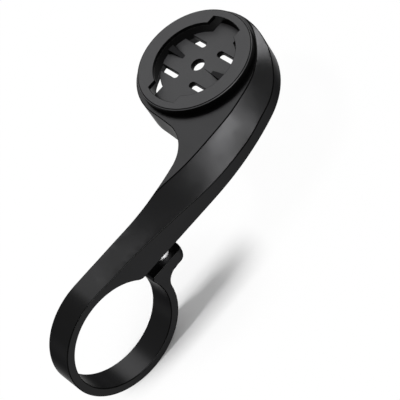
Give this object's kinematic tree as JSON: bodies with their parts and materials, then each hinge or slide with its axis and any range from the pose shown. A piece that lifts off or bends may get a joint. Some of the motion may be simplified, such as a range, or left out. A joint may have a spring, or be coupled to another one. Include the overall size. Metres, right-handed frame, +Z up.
{
  "type": "bike computer mount",
  "caption": "Handlebar clamp ring with a forward arm that swings to one side and ends in a round head, which holds a bike computer in a moulded quarter-turn lock.",
  "frame": {"origin": "centre of the handlebar clamp's bore, at the middle of its width", "axes": "+X along the bar, away from the side that the head stands on; +Y forward along the arm; +Z up, towards the face that carries the computer"},
  "size_m": [0.0476, 0.1054, 0.0391],
  "materials": {
    "black_anodised": "bead-blasted and black anodised, satin",
    "black_nylon": "moulded black, fine grain",
    "steel": "bright stainless steel"
  },
  "bodies": {
    "root": {"arm": "black_anodised", "twist_lock_insert": "black_nylon", "clamp_screw": "steel"}
  },
  "joints": []
}
